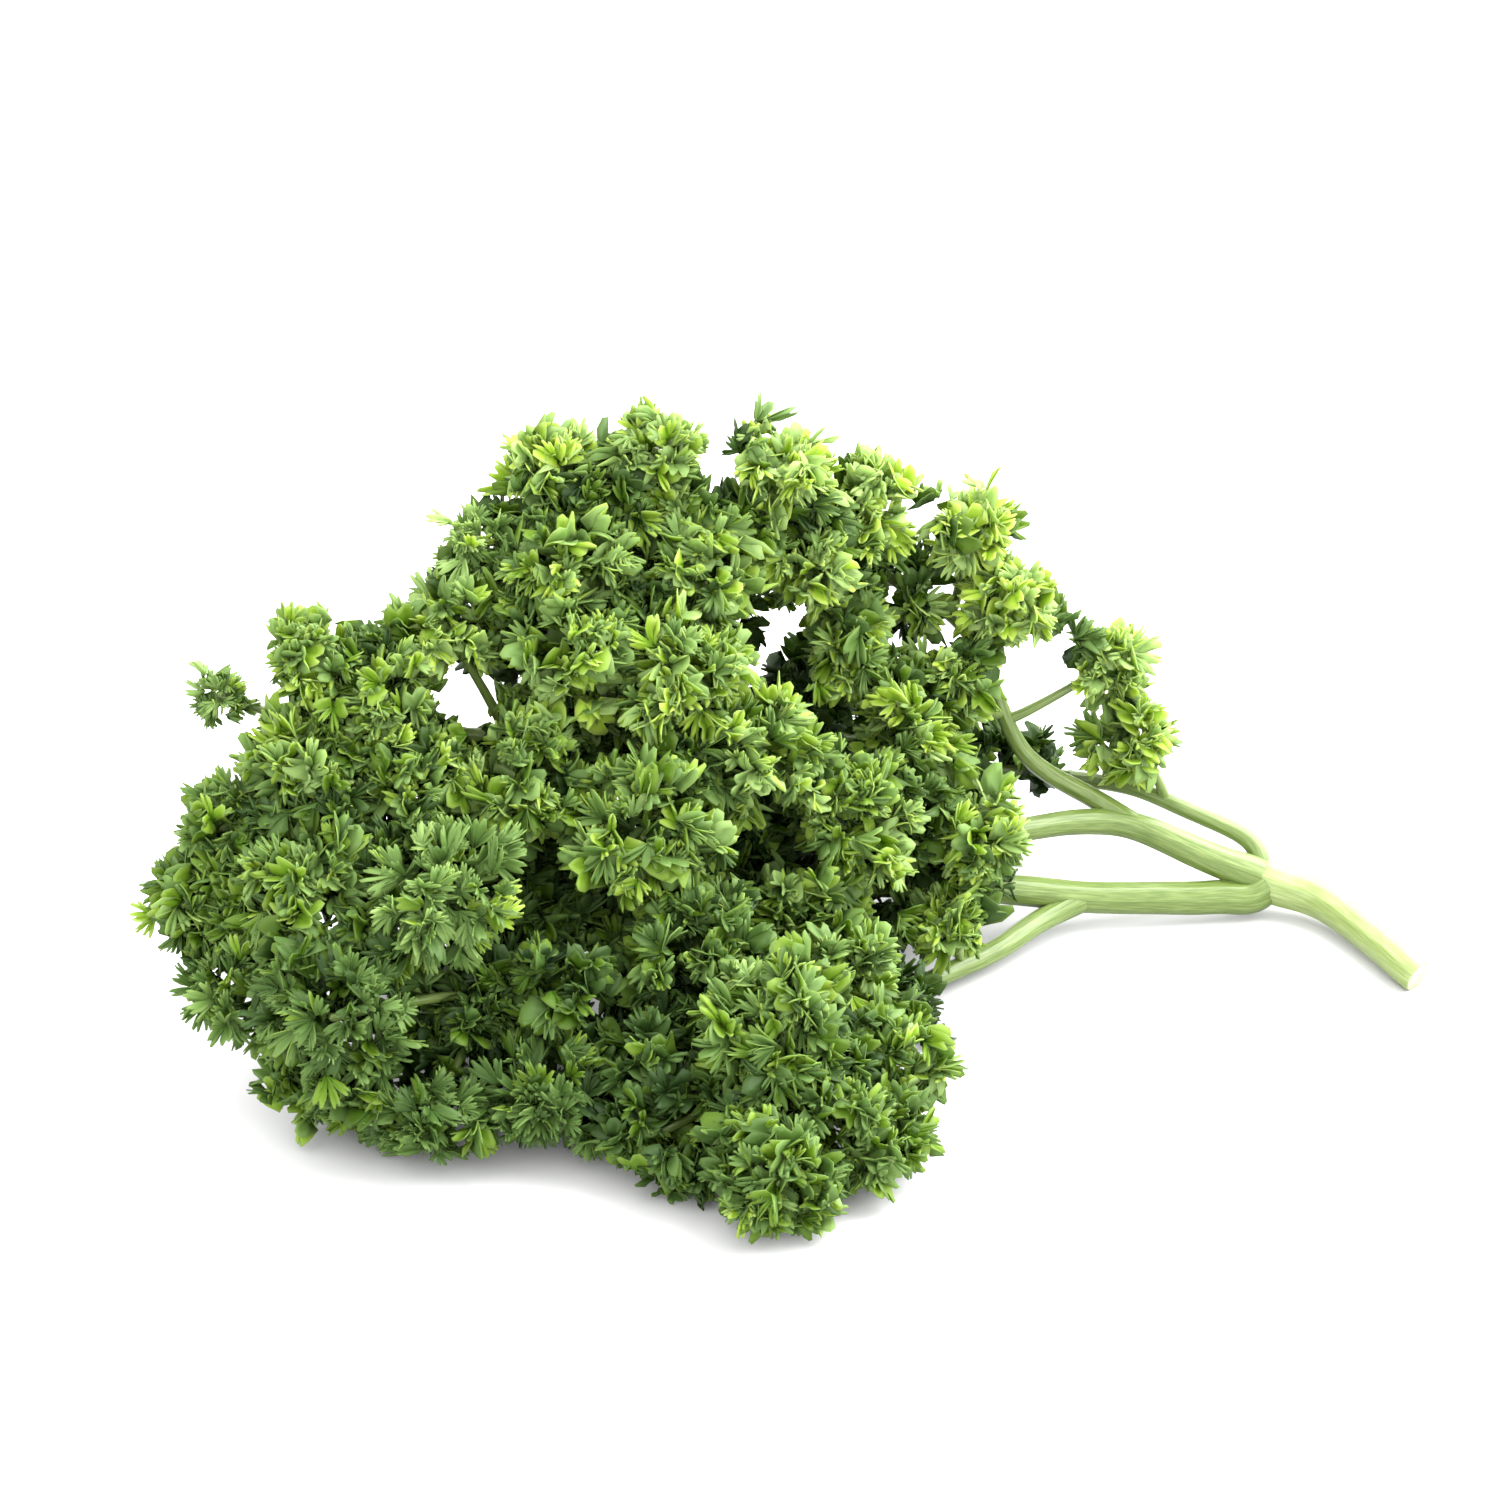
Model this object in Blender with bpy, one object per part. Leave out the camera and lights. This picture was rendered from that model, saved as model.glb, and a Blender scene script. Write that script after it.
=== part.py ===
"""A cut sprig of curly-leaf parsley that lies on a flat surface.

One compound leaf: a stalk with a swollen heel, branches that divide from the heel, and tightly
crisped leaflets, each on its own short stalklet.  Every stem is a tapered tube, notched round the
stem that it grows from.  Every leaflet is one closed body: a lobed puff of the space that its
crisped lobes fill, flattened where it meets a neighbour, a stem or the surface underneath.

Design coordinates are millimetres, with the first fork on the surface at the origin, +X along the
stalk towards its cut end, -Y towards the low side of the blade and +Z up.
"""
import math

import bmesh
import bpy
from mathutils import Vector

MM = 0.001

# Driving dimensions, in millimetres.
BLADE_LENGTH = 115.0      # from the first fork to the farthest leaflets
BLADE_DEPTH = 80.0        # from the low side of the blade to its high side
BLADE_HEIGHT = 62.0       # from the surface to the top leaflets
STALK_LENGTH = 24.0       # from the cut end to the first fork
STALK_DIAMETER = 3.6
HEEL_DIAMETER = 4.8       # the swelling where the branches leave the stalk
UPPER_DIAMETER = 2.2
MIDDLE_DIAMETER = 4.0
LOWER_DIAMETER = 4.0
RISE_DIAMETER = 2.6
FRONT_DIAMETER = 2.8
SKIRT_DIAMETER = 1.9
STALKLET_DIAMETER = 1.3
TIP_SHARE = 0.45          # a branch's diameter at its tip, as a share of that at its foot
LEAFLET_WIDTH = 12.0      # a middling leaflet, across
GAP = 0.3                 # kept between pieces that meet

CUT_SLANT = 0.5           # the cut end leans by this share of the stalk's radius

# Sides and rings of the round bodies.
STEM_SIDES = 8
STEM_STEP = 4.0           # spacing of a stem's rings
LEAFLET_SIDES = 10
LEAFLET_RINGS = 5
STALKLET_RINGS = 3
STALKLET_SAMPLES = 60
FORWARD_LEAN = 0.45       # how far down its stem a stalklet starts, as a share of its reach
LOBES = 5
LOBE_DEPTH = 0.12         # how far a puff's lobes stand proud, as a share of its radius

# The blade as first drawn; a change of the driving dimensions stretches it.
DRAWN = Vector((115.0, 80.0, 62.0))
DRAWN_STALK = 24.0
DRAWN_MIDDLE = 4.0

# The upper branch runs beside the middle one, and moves this way when that is thicker than drawn.
AWAY_FROM_MIDDLE = Vector((0.0, 0.8, 0.6))

# The stalk's centre line, from its cut end to the heel.
STALK_ROUTE = [(15, -20, 2.1), (12, -14, 2.1), (8, -7, 2.3), (5, -4, 2.7), (2, -3.3, 3.1), (0, -3.3, 3.4)]

# How soon a branch thins: 1 is evenly along it, and more is sooner after its foot.
EVEN_TAPER = 1.0
EARLY_TAPER = 3.0

# Branches: name, diameter at the foot, taper, the stems that it is notched round, its centre line.
BRANCHES = [
    ("lower_branch", LOWER_DIAMETER, EVEN_TAPER, ["stalk"],
     [(2, -3.6, 2.9), (-2, -4.4, 2.4), (-8, -5, 2.6), (-15, -6, 3.2), (-19, -7, 3.8), (-23, -8, 5),
      (-33, -11, 7.5), (-43, -15, 10), (-54, -20, 13), (-65, -25, 16), (-75, -28, 18),
      (-85, -31, 21), (-93, -32, 23)]),
    ("middle_branch", MIDDLE_DIAMETER, EARLY_TAPER, ["stalk", "lower_branch"],
     [(2, -3, 3.2), (-1.5, -3.2, 4.6), (-5, -3, 6.2), (-9, -2.3, 7.8), (-14.5, -0.5, 9.4),
      (-20, -2, 10), (-26, -5, 10.6), (-34, -9, 12), (-42, -13, 16), (-50, -16, 20),
      (-59, -18, 25), (-68, -20, 29), (-76, -21, 30), (-84, -22, 31), (-92, -23, 32), (-98, -24, 33)]),
    ("upper_branch", UPPER_DIAMETER, EVEN_TAPER, ["stalk", "middle_branch"],
     [(2.2, -2.8, 3.6), (0, -0.5, 6.8), (-7, 1.8, 9.2), (-12, 4.5, 10.4), (-20, 7, 10.6),
      (-28, 8, 11), (-37, 7.5, 13), (-46, 5, 17), (-55, 1, 20)]),
    ("rise_branch", RISE_DIAMETER, EARLY_TAPER, ["middle_branch"],
     [(-12.5, -1.2, 8.9), (-16.5, 0.8, 11), (-20, 1.5, 12.6), (-24, 1.8, 15), (-26, 2.5, 18),
      (-28, 4, 23), (-31, 6, 29), (-37, 5, 34), (-44, 3, 39), (-52, 0, 42.5), (-61, -4, 45),
      (-69, -8, 47)]),
    ("front_branch", FRONT_DIAMETER, EVEN_TAPER, ["lower_branch"],
     [(-19, -7, 4), (-22, -9, 3.4), (-27, -15, 2.5), (-32, -19, 2.2), (-36, -23, 2.4),
      (-40, -28, 3), (-43, -34, 4.2), (-46, -39, 5.4), (-50, -45, 6.6), (-54, -51, 7.6)]),
    ("skirt_branch", SKIRT_DIAMETER, EVEN_TAPER, ["lower_branch"],
     [(-68, -26, 16.5), (-74, -33, 15), (-79, -40, 13.5), (-83, -46, 12)]),
]

# Leaflets by the stem that they grow on: name, centre, width as a share of LEAFLET_WIDTH.
LEAFLETS = {
    "rise_branch": [
        ("leaflet_top_1", (-73, -11, 55), 0.84), ("leaflet_top_2", (-63, -11, 57), 0.92),
        ("leaflet_top_3", (-50, -7, 53), 0.95), ("leaflet_top_4", (-41, -2, 47), 0.8),
        ("leaflet_crown_1", (-81, -17, 50), 0.76), ("leaflet_crown_2", (-72, -18, 48), 1.2),
        ("leaflet_crown_3", (-60, -14, 47), 1.2), ("leaflet_crown_4", (-47.5, -8.5, 43), 0.85),
        ("leaflet_right_1", (-31, 2, 43), 0.78), ("leaflet_right_2", (-27, 1, 34), 0.86),
        ("leaflet_right_3", (-33, -2, 26), 0.95), ("leaflet_right_4", (-16, 5, 25), 0.66),
        ("leaflet_inner_1", (-43, -5, 32), 0.85), ("leaflet_rear_1", (-60, 5, 39), 1.1),
        ("leaflet_rear_2", (-46, 10, 33), 1.05),
    ],
    "upper_branch": [
        ("leaflet_right_5", (-13, 4, 16.5), 0.76), ("leaflet_rear_3", (-33, 14, 16), 1.0),
        ("leaflet_rear_4", (-64, 4, 21), 1.3),
    ],
    "middle_branch": [
        ("leaflet_right_6", (-30, -15, 14.5), 0.95), ("leaflet_right_7", (-37, -8, 25), 1.0),
        ("leaflet_crown_5", (-84, -22, 43), 1.0), ("leaflet_crown_6", (-70, -25, 42), 1.15),
        ("leaflet_crown_7", (-60, -26, 39), 1.3), ("leaflet_middle_1", (-76, -32, 31), 1.2),
        ("leaflet_middle_2", (-64, -36, 27), 1.4), ("leaflet_middle_3", (-53, -25, 31), 1.2),
        ("leaflet_middle_4", (-43.5, -21.5, 22), 1.25),
        ("leaflet_left_1", (-97, -26, 42), 0.78), ("leaflet_left_2", (-90, -28, 38), 0.95),
        ("leaflet_left_3", (-107, -23, 36), 0.46), ("leaflet_left_4", (-98, -32, 32), 1.08),
        ("leaflet_left_5", (-106, -33.5, 26.5), 0.88), ("leaflet_left_6", (-88, -33, 31), 1.15),
        ("leaflet_rear_6", (-90, -14, 27), 1.15),
    ],
    "lower_branch": [
        ("leaflet_left_7", (-109, -36, 19), 0.88), ("leaflet_left_8", (-98, -41, 24), 1.2),
        ("leaflet_left_9", (-106, -43, 13), 0.9), ("leaflet_front_1", (-84, -47, 26), 1.25),
        ("leaflet_front_6", (-59, -42, 17), 1.4), ("leaflet_front_7", (-47, -28, 13), 1.1),
        ("leaflet_rear_5", (-88, -20, 6), 1.35), ("leaflet_inner_2", (-70, -34, 7.5), 1.35),
    ],
    "skirt_branch": [
        ("leaflet_front_2", (-94, -53, 16), 1.2), ("leaflet_front_3", (-95, -48, 4.2), 1.05),
        ("leaflet_front_4", (-85, -54, 4.2), 1.12), ("leaflet_front_5", (-74, -53, 6.5), 1.25),
    ],
    "front_branch": [
        ("leaflet_front_8", (-61.5, -57, 5), 1.3), ("leaflet_front_9", (-51, -66, 4.8), 1.25),
        ("leaflet_front_10", (-41, -57, 4.2), 1.05), ("leaflet_front_11", (-39, -48, 8), 0.88),
        ("leaflet_front_12", (-51, -53, 15), 1.3), ("leaflet_front_13", (-44, -37, 12), 0.95),
        ("leaflet_front_14", (-33.5, -20, 8), 0.62),
    ],
}

STEM_GREEN = (0.49, 0.62, 0.22)
LEAF_GREENS = [(0.10, 0.21, 0.035), (0.13, 0.25, 0.045), (0.16, 0.29, 0.06)]


def placed(point):
    """A point of the drawn blade, stretched to the driving dimensions."""
    drawn = Vector(point)
    if drawn.x > 0:
        reach = STALK_LENGTH / DRAWN_STALK
        return Vector((drawn.x * reach, drawn.y * reach, drawn.z))
    return Vector((drawn.x * BLADE_LENGTH / DRAWN.x,
                   drawn.y * BLADE_DEPTH / DRAWN.y,
                   drawn.z * BLADE_HEIGHT / DRAWN.z))


def smooth_route(points, step):
    """Points about a step apart on the Catmull-Rom curve through the given ones."""
    route = [points[0]]
    ends = [points[0] * 2 - points[1]] + points + [points[-1] * 2 - points[-2]]
    for a, b, c, d in zip(ends, ends[1:], ends[2:], ends[3:]):
        count = max(1, round((c - b).length / step))
        for i in range(1, count + 1):
            t = i / count
            route.append(0.5 * (b * 2 + (c - a) * t + (a * 2 - b * 5 + c * 4 - d) * t * t
                                + (b * 3 - a - c * 3 + d) * t ** 3))
    return route


def directions(route):
    """The unit tangent at each point of a route."""
    spans = [(b - a).normalized() for a, b in zip(route, route[1:])]
    spans = [spans[0]] + spans + [spans[-1]]
    return [(a + b).normalized() for a, b in zip(spans, spans[1:])]


def ring_frames(route):
    """For each point of a route, its tangent and two sideways axes that don't twist along it."""
    tangents = directions(route)
    side = tangents[0].orthogonal().normalized()
    frames = []
    for tangent in tangents:
        side = (side - tangent * side.dot(tangent)).normalized()
        frames.append((tangent, side, tangent.cross(side)))
    return frames


def ring(centre, frame, radius, sides, slant=0.0):
    """Points round a centre; a slant tips the ring along the tangent."""
    tangent, across, up = frame
    points = []
    for i in range(sides):
        angle = math.tau * i / sides
        offset = across * math.cos(angle) + up * math.sin(angle)
        points.append(centre + (offset + tangent * slant * math.cos(angle)) * radius)
    return points


def closed_body(rings, pole=None):
    """One closed mesh through rings of equal count, with flat caps, or a point past the last ring."""
    shape = bmesh.new()
    rows = [[shape.verts.new(p * MM) for p in points] for points in rings]
    for row, following in zip(rows, rows[1:]):
        for i in range(len(row)):
            j = (i + 1) % len(row)
            shape.faces.new((row[i], row[j], following[j], following[i]))
    shape.faces.new(rows[0])
    if pole:
        tip = shape.verts.new(pole * MM)
        for i in range(len(rows[-1])):
            shape.faces.new((rows[-1][i], rows[-1][(i + 1) % len(rows[-1])], tip))
    else:
        shape.faces.new(rows[-1])
    bmesh.ops.recalc_face_normals(shape, faces=shape.faces)
    bmesh.ops.triangulate(shape, faces=shape.faces)
    mesh = bpy.data.meshes.new("body")
    shape.to_mesh(mesh)
    shape.free()
    return mesh


def add_object(name, mesh, material, parent):
    mesh.name = name
    mesh.materials.append(material)
    mesh.shade_smooth()
    mesh.set_sharp_from_angle(angle=math.radians(40))
    piece = bpy.data.objects.new(name, mesh)
    piece.parent = parent
    bpy.context.collection.objects.link(piece)
    return piece


def make_material(name, colour, roughness):
    material = bpy.data.materials.new(name)
    material.use_nodes = True
    shader = material.node_tree.nodes["Principled BSDF"]
    shader.inputs["Base Color"].default_value = (*colour, 1.0)
    shader.inputs["Roughness"].default_value = roughness
    shader.inputs["Metallic"].default_value = 0.0
    return material


def stem_rings(route, radii, clearance=0.0, slant=0.0):
    """The rings of a stem, or of the same stem grown all round and at both ends by a clearance."""
    frames = ring_frames(route)
    centres = list(route)
    centres[0] = route[0] - frames[0][0] * clearance
    centres[-1] = route[-1] + frames[-1][0] * clearance
    return [ring(centre, frame, radius + clearance, STEM_SIDES, slant if i == 0 else 0.0)
            for i, (centre, frame, radius) in enumerate(zip(centres, frames, radii))]


def stalk_line():
    """The stalk's centre line and radii: even along the stalk, swollen at the heel."""
    route = smooth_route([placed(p) for p in STALK_ROUTE], STEM_STEP)
    total = len(route) - 1
    radii = []
    for i in range(len(route)):
        swelling = max(0.0, 1 - abs(i / total - 0.85) / 0.35)
        radii.append((STALK_DIAMETER + (HEEL_DIAMETER - STALK_DIAMETER) * swelling) / 2)
    return lift_off_floor(route, radii), radii


def moved_aside(name):
    """The upper branch's move, half of what the middle one gained."""
    if name == "upper_branch":
        return AWAY_FROM_MIDDLE * (MIDDLE_DIAMETER - DRAWN_MIDDLE) / 2
    return Vector((0.0, 0.0, 0.0))


def branch_line(diameter, taper, points, aside):
    route = smooth_route([placed(p) + aside for p in points], STEM_STEP)
    last = len(route) - 1
    radii = [diameter / 2 * (TIP_SHARE + (1 - TIP_SHARE) * (1 - i / last) ** taper) for i in range(last + 1)]
    return lift_off_floor(route, radii), radii


def lift_off_floor(route, radii):
    """No stem dips below the surface that the sprig lies on."""
    return [Vector((p.x, p.y, max(p.z, radius))) for p, radius in zip(route, radii)]


def cut_round(piece, parents, lines):
    """Notches a stem round each stem that it grows from, a gap away."""
    for parent in parents:
        route, radii = lines[parent]
        mesh = closed_body(stem_rings(route, radii, GAP))
        cutter = bpy.data.objects.new(piece.name + "_cutter_" + parent, mesh)
        cutter.hide_render = True
        cutter.display_type = "WIRE"
        cutter.parent = piece.parent
        bpy.context.collection.objects.link(cutter)
        cutter.hide_set(True)
        notch = piece.modifiers.new("notch", "BOOLEAN")
        notch.operation = "DIFFERENCE"
        notch.solver = "EXACT"
        notch.object = cutter


def nearest(point, a, b):
    """The point of the segment from a to b that lies nearest."""
    along = b - a
    share = max(0.0, min(1.0, (point - a).dot(along) / along.length_squared))
    return a + along * share


def tube_gap(point, route, radii):
    """How far a point is from the outside of a stem."""
    return min((point - nearest(point, a, b)).length - max(thick, thin)
               for a, b, thick, thin in zip(route, route[1:], radii, radii[1:]))


class Leaflet:
    """A crisped leaflet: where it sits, how big it is and how its stalklet reaches it."""

    def __init__(self, name, centre, share, line):
        self.name = name
        self.centre = placed(centre)
        self.radius = LEAFLET_WIDTH * share / 2
        self.stalklet = self.stalklet_route(*line)
        self.planes = []

    def stalklet_route(self, route, radii):
        """A gentle curve that leaves the stem at a forward angle and ends inside the puff."""
        near = min(range(len(route)), key=lambda i: (route[i] - self.centre).length)
        reach = (route[near] - self.centre).length
        foot = near
        while foot > 0 and (route[foot] - route[near]).length < FORWARD_LEAN * reach:
            foot -= 1
        start = route[foot]
        bend = start + (self.centre - start) * 0.5 + directions(route)[foot] * 0.12 * reach
        end = self.centre + (bend - self.centre).normalized() * self.radius * 0.6
        samples = [start * (1 - t) ** 2 + bend * 2 * t * (1 - t) + end * t * t
                   for t in (i / STALKLET_SAMPLES for i in range(STALKLET_SAMPLES + 1))]
        clear = len(samples) - 1
        while clear > 0 and tube_gap(samples[clear - 1], route, radii) > STALKLET_DIAMETER / 2 + GAP:
            clear -= 1
        spread = (len(samples) - 1 - clear) / (STALKLET_RINGS - 1)
        return [samples[clear + round(i * spread)] for i in range(STALKLET_RINGS)]

    def keep_clear_of_leaflet(self, other):
        """Neighbours share a flat boundary, a gap apart."""
        between = other.centre - self.centre
        distance = between.length
        share = (distance ** 2 + self.radius ** 2 - other.radius ** 2) / (2 * distance)
        if share < self.radius * (1 + LOBE_DEPTH):
            self.planes.append((between.normalized(), share - GAP / 2))

    def keep_clear_of_tube(self, route, radii):
        for a, b, radius in zip(route, route[1:], radii):
            between = nearest(self.centre, a, b) - self.centre
            share = between.length - radius - GAP
            if share < self.radius * (1 + LOBE_DEPTH):
                self.planes.append((between.normalized(), share))

    def reach_towards(self, direction, angle):
        """The puff's radius in one direction, stopped by every neighbour and by the floor."""
        lobe = 1 + LOBE_DEPTH * math.cos(LOBES * angle)
        reach = self.radius * lobe
        for normal, share in self.planes + [(Vector((0, 0, -1)), self.centre.z)]:
            towards = direction.dot(normal)
            if towards > 0:
                reach = min(reach, share / towards)
        return reach

    def mesh(self):
        """One body: the stalklet's rings, then the puff's rings round the same axis."""
        route = self.stalklet + [self.centre]
        frames = ring_frames(route)
        thin = STALKLET_DIAMETER / 2
        rings = [ring(p, f, thin, LEAFLET_SIDES) for p, f in zip(self.stalklet, frames)]
        axis = (self.centre - self.stalklet[-1]).normalized()
        across = (frames[-1][1] - axis * frames[-1][1].dot(axis)).normalized()
        up = axis.cross(across)
        for i in range(LEAFLET_RINGS):
            polar = math.pi * (i + 1) / (LEAFLET_RINGS + 1)
            points = []
            for j in range(LEAFLET_SIDES):
                angle = math.tau * j / LEAFLET_SIDES
                outward = across * math.cos(angle) + up * math.sin(angle)
                direction = axis * -math.cos(polar) + outward * math.sin(polar)
                points.append(self.centre + direction * self.reach_towards(direction, angle))
            rings.append(points)
        tip = self.centre + axis * self.reach_towards(axis, math.pi / LOBES)
        return closed_body(rings, pole=tip)


def centre_over_origin(sprig):
    """Moves the sprig so that the middle of its footprint is over the origin."""
    corners = [v.co for piece in sprig.children if not piece.hide_render for v in piece.data.vertices]
    for axis in (0, 1):
        values = [corner[axis] for corner in corners]
        sprig.location[axis] = -(min(values) + max(values)) / 2


def build():
    for thing in list(bpy.data.objects):
        bpy.data.objects.remove(thing)
    sprig = bpy.data.objects.new("sprig", None)
    bpy.context.collection.objects.link(sprig)

    stem_green = make_material("stem_green", STEM_GREEN, 0.42)
    leaf_greens = [make_material(f"leaf_green_{i + 1}", c, 0.55) for i, c in enumerate(LEAF_GREENS)]

    lines = {"stalk": stalk_line()}
    route, radii = lines["stalk"]
    add_object("stalk", closed_body(stem_rings(route, radii, slant=CUT_SLANT)), stem_green, sprig)
    for name, diameter, taper, parents, points in BRANCHES:
        lines[name] = branch_line(diameter, taper, points, moved_aside(name))
        piece = add_object(name, closed_body(stem_rings(*lines[name])), stem_green, sprig)
        cut_round(piece, parents, lines)

    leaflets = [Leaflet(name, centre, share, lines[stem])
                for stem, group in LEAFLETS.items() for name, centre, share in group]
    for leaflet in leaflets:
        for other in leaflets:
            if other is not leaflet:
                leaflet.keep_clear_of_leaflet(other)
                leaflet.keep_clear_of_tube(other.stalklet, [STALKLET_DIAMETER / 2] * STALKLET_RINGS)
        for route, radii in lines.values():
            leaflet.keep_clear_of_tube(route, radii)
    for i, leaflet in enumerate(leaflets):
        add_object(leaflet.name, leaflet.mesh(), leaf_greens[i % len(leaf_greens)], sprig)

    centre_over_origin(sprig)
    return leaflets, lines


build()
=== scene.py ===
"""Looks of a cut sprig of curly-leaf parsley: smooth ribbed stems and crisped, toothed leaflets."""

import heapq
import math

import bpy
import numpy as np
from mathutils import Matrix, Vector
from mathutils.bvhtree import BVHTree


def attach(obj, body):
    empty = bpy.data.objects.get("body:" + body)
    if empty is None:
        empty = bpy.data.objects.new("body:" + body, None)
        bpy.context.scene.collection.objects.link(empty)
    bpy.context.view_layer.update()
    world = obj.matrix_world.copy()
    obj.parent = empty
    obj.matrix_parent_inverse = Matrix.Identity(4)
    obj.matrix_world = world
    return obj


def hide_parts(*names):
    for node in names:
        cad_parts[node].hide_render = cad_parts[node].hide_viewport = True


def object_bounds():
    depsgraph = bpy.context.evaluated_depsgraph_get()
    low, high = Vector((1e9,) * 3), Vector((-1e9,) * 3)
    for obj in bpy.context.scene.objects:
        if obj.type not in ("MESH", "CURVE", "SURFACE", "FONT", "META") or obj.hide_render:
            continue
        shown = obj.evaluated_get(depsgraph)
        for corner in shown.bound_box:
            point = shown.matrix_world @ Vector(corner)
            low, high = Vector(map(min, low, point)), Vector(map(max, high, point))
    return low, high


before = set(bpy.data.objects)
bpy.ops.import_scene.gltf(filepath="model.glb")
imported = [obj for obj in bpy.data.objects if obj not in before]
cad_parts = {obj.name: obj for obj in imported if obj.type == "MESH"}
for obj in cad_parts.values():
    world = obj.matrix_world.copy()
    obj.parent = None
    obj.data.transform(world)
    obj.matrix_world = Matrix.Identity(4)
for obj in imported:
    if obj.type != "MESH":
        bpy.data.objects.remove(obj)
cad_low, cad_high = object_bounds()

MM = 0.001
SEED = 20

# ---------------------------------------------------------------- how the sprig is made up

GROWS_FROM = {"stalk": None, "lower_branch": "stalk", "middle_branch": "stalk", "upper_branch": "stalk",
              "rise_branch": "middle_branch", "front_branch": "lower_branch",
              "skirt_branch": "lower_branch"}
LEAFLET_NODES = sorted(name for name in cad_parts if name.startswith("leaflet_"))

# Leaflets of longer, flatter blades, most of which show their pale undersides.
OPEN_LEAFLETS = {"leaflet_left_3", "leaflet_left_9", "leaflet_front_1", "leaflet_front_2",
                 "leaflet_front_4", "leaflet_front_5", "leaflet_crown_1"}

LONE_LEAFLET = "leaflet_left_3"        # it stands away from the others
BARE_STALKLETS = "leaflet_right"       # the leaflets whose stalklets never carry tufts

# Where each leafy stem starts to carry inner tufts, as a share of its length.
LEAFY_FROM = {"lower_branch": 0.36, "middle_branch": 0.35, "upper_branch": 0.5, "rise_branch": 0.5,
              "front_branch": 0.5, "skirt_branch": 0.1}

# Leaflets round each hollow of the blade that more tufts close, low in front and behind.
# One that is named twice draws the hollow's middle towards itself, here and in the gaps below.
HOLLOWS = [("front_3", "front_4", "inner_2"), ("front_5", "front_8", "inner_2"),
           ("front_6", "front_13", "inner_2"), ("front_3", "inner_2", "rear_5"),
           ("front_1", "front_4", "inner_2"), ("front_8", "front_12", "inner_2"),
           ("front_2", "front_3", "left_8"), ("front_10", "front_12", "front_13"),
           ("front_1", "front_5", "front_6"), ("front_5", "front_6", "front_8"),
           ("inner_2", "rear_4", "rear_5"), ("rear_4", "rear_5", "rear_6"),
           ("inner_1", "rear_3", "rear_4"), ("rear_1", "rear_2", "rear_4"),
           ("rear_3", "rear_4", "front_7"), ("crown_5", "rear_1", "rear_6"),
           ("rear_4", "rear_4", "rear_6"), ("front_7", "inner_2", "rear_4")]

# Gaps through the blade: the leaflets that frame each, and its radius.
OPENINGS = [(("crown_5", "crown_5", "left_2", "crown_6", "middle_1", "left_6"), 3.3 * MM),
            (("crown_4", "inner_1", "crown_7"), 2.8 * MM),
            (("right_2", "right_3", "right_3", "right_4", "right_5"), 3.2 * MM),
            (("top_2", "top_3"), 1.6 * MM),
            (("right_1", "top_4"), 1.5 * MM),
            (("inner_1", "right_2", "right_3"), 1.0 * MM),
            (("right_3", "right_7"), 0.9 * MM)]

# A leaflet's painted light and shade, from 0 to 1: painted shade is deepest at the middle of the blade and
# low down, and painted light is strongest up high, to the right and towards both ends.
LEAST_PAINTED_LIGHTNESS = 0.03
PAINTED_LIGHTER_TO_THE_RIGHT = 0.45
PAINTED_LIGHTER_UPWARDS = 0.53
PAINTED_LIGHTER_OUTWARDS = 0.75
PAINTED_SHADE_MIDDLE = 0.4                      # where the painted shade is deepest, as a share of the sprig's length, from the left
# Painted lightness of the tufts that fill the blade, sit on its stems and close its hollows: low values, as
# painted shade deep inside.
FILLING_PAINTED_LIGHTNESS = 0.3
STEM_TUFT_PAINTED_LIGHTNESS = 0.1
HOLLOW_PAINTED_LIGHTNESS = 0.05

# Shares of the blades that turn their pale undersides outward.
OPEN_PALE = 0.7
CRISPED_PALE = 0.08
TUFT_PALE = 0.1


# ---------------------------------------------------------------- camera, light and table

CAMERA_ELEVATION = math.radians(28)
CAMERA_DISTANCE = 0.70
CAMERA_AIM = Vector((-4.4, -2.8, 1.8)) * MM      # from the middle of the sprig
VIEW_WIDTH = 0.150                               # seen from side to side at that distance
GAP_AXIS = np.array([0, math.cos(CAMERA_ELEVATION), -math.sin(CAMERA_ELEVATION)])

DAYLIGHT = 3.9
LAMP_PLACE = Vector((0.5, 0.25, 0.6))
LAMP_AIM = Vector((0, 0, 0.02))
LAMP_SIZE = 1.1
LAMP_POWER = 30
TABLE_REACH = 6


def add_camera():
    """Looks along +Y and down, at the middle of the blade."""
    data = bpy.data.cameras.new("camera")
    data.sensor_width = 36
    data.lens = data.sensor_width * CAMERA_DISTANCE / VIEW_WIDTH
    data.clip_start = 0.01
    camera = bpy.data.objects.new("camera", data)
    bpy.context.scene.collection.objects.link(camera)
    back = Vector((0, -math.cos(CAMERA_ELEVATION), math.sin(CAMERA_ELEVATION)))
    camera.location = (cad_low + cad_high) / 2 + CAMERA_AIM + back * CAMERA_DISTANCE
    camera.rotation_euler = (math.radians(90) - CAMERA_ELEVATION, 0, 0)
    bpy.context.scene.camera = camera


def add_daylight():
    """Even white light from all round, with plain colours."""
    world = bpy.data.worlds.new("studio")
    bpy.context.scene.world = world
    world.use_nodes = True
    background = world.node_tree.nodes["Background"]
    background.inputs["Color"].default_value = (1, 1, 1, 1)
    background.inputs["Strength"].default_value = DAYLIGHT
    bpy.context.scene.view_settings.view_transform = "Standard"


def add_lamp():
    """One broad lamp, high on the right and a little behind."""
    data = bpy.data.lights.new("overhead", "AREA")
    data.shape = "DISK"
    data.size = LAMP_SIZE
    data.energy = LAMP_POWER
    lamp = bpy.data.objects.new("overhead", data)
    bpy.context.scene.collection.objects.link(lamp)
    lamp.location = LAMP_PLACE
    lamp.rotation_euler = (LAMP_AIM - LAMP_PLACE).to_track_quat("-Z", "Y").to_euler()


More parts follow.
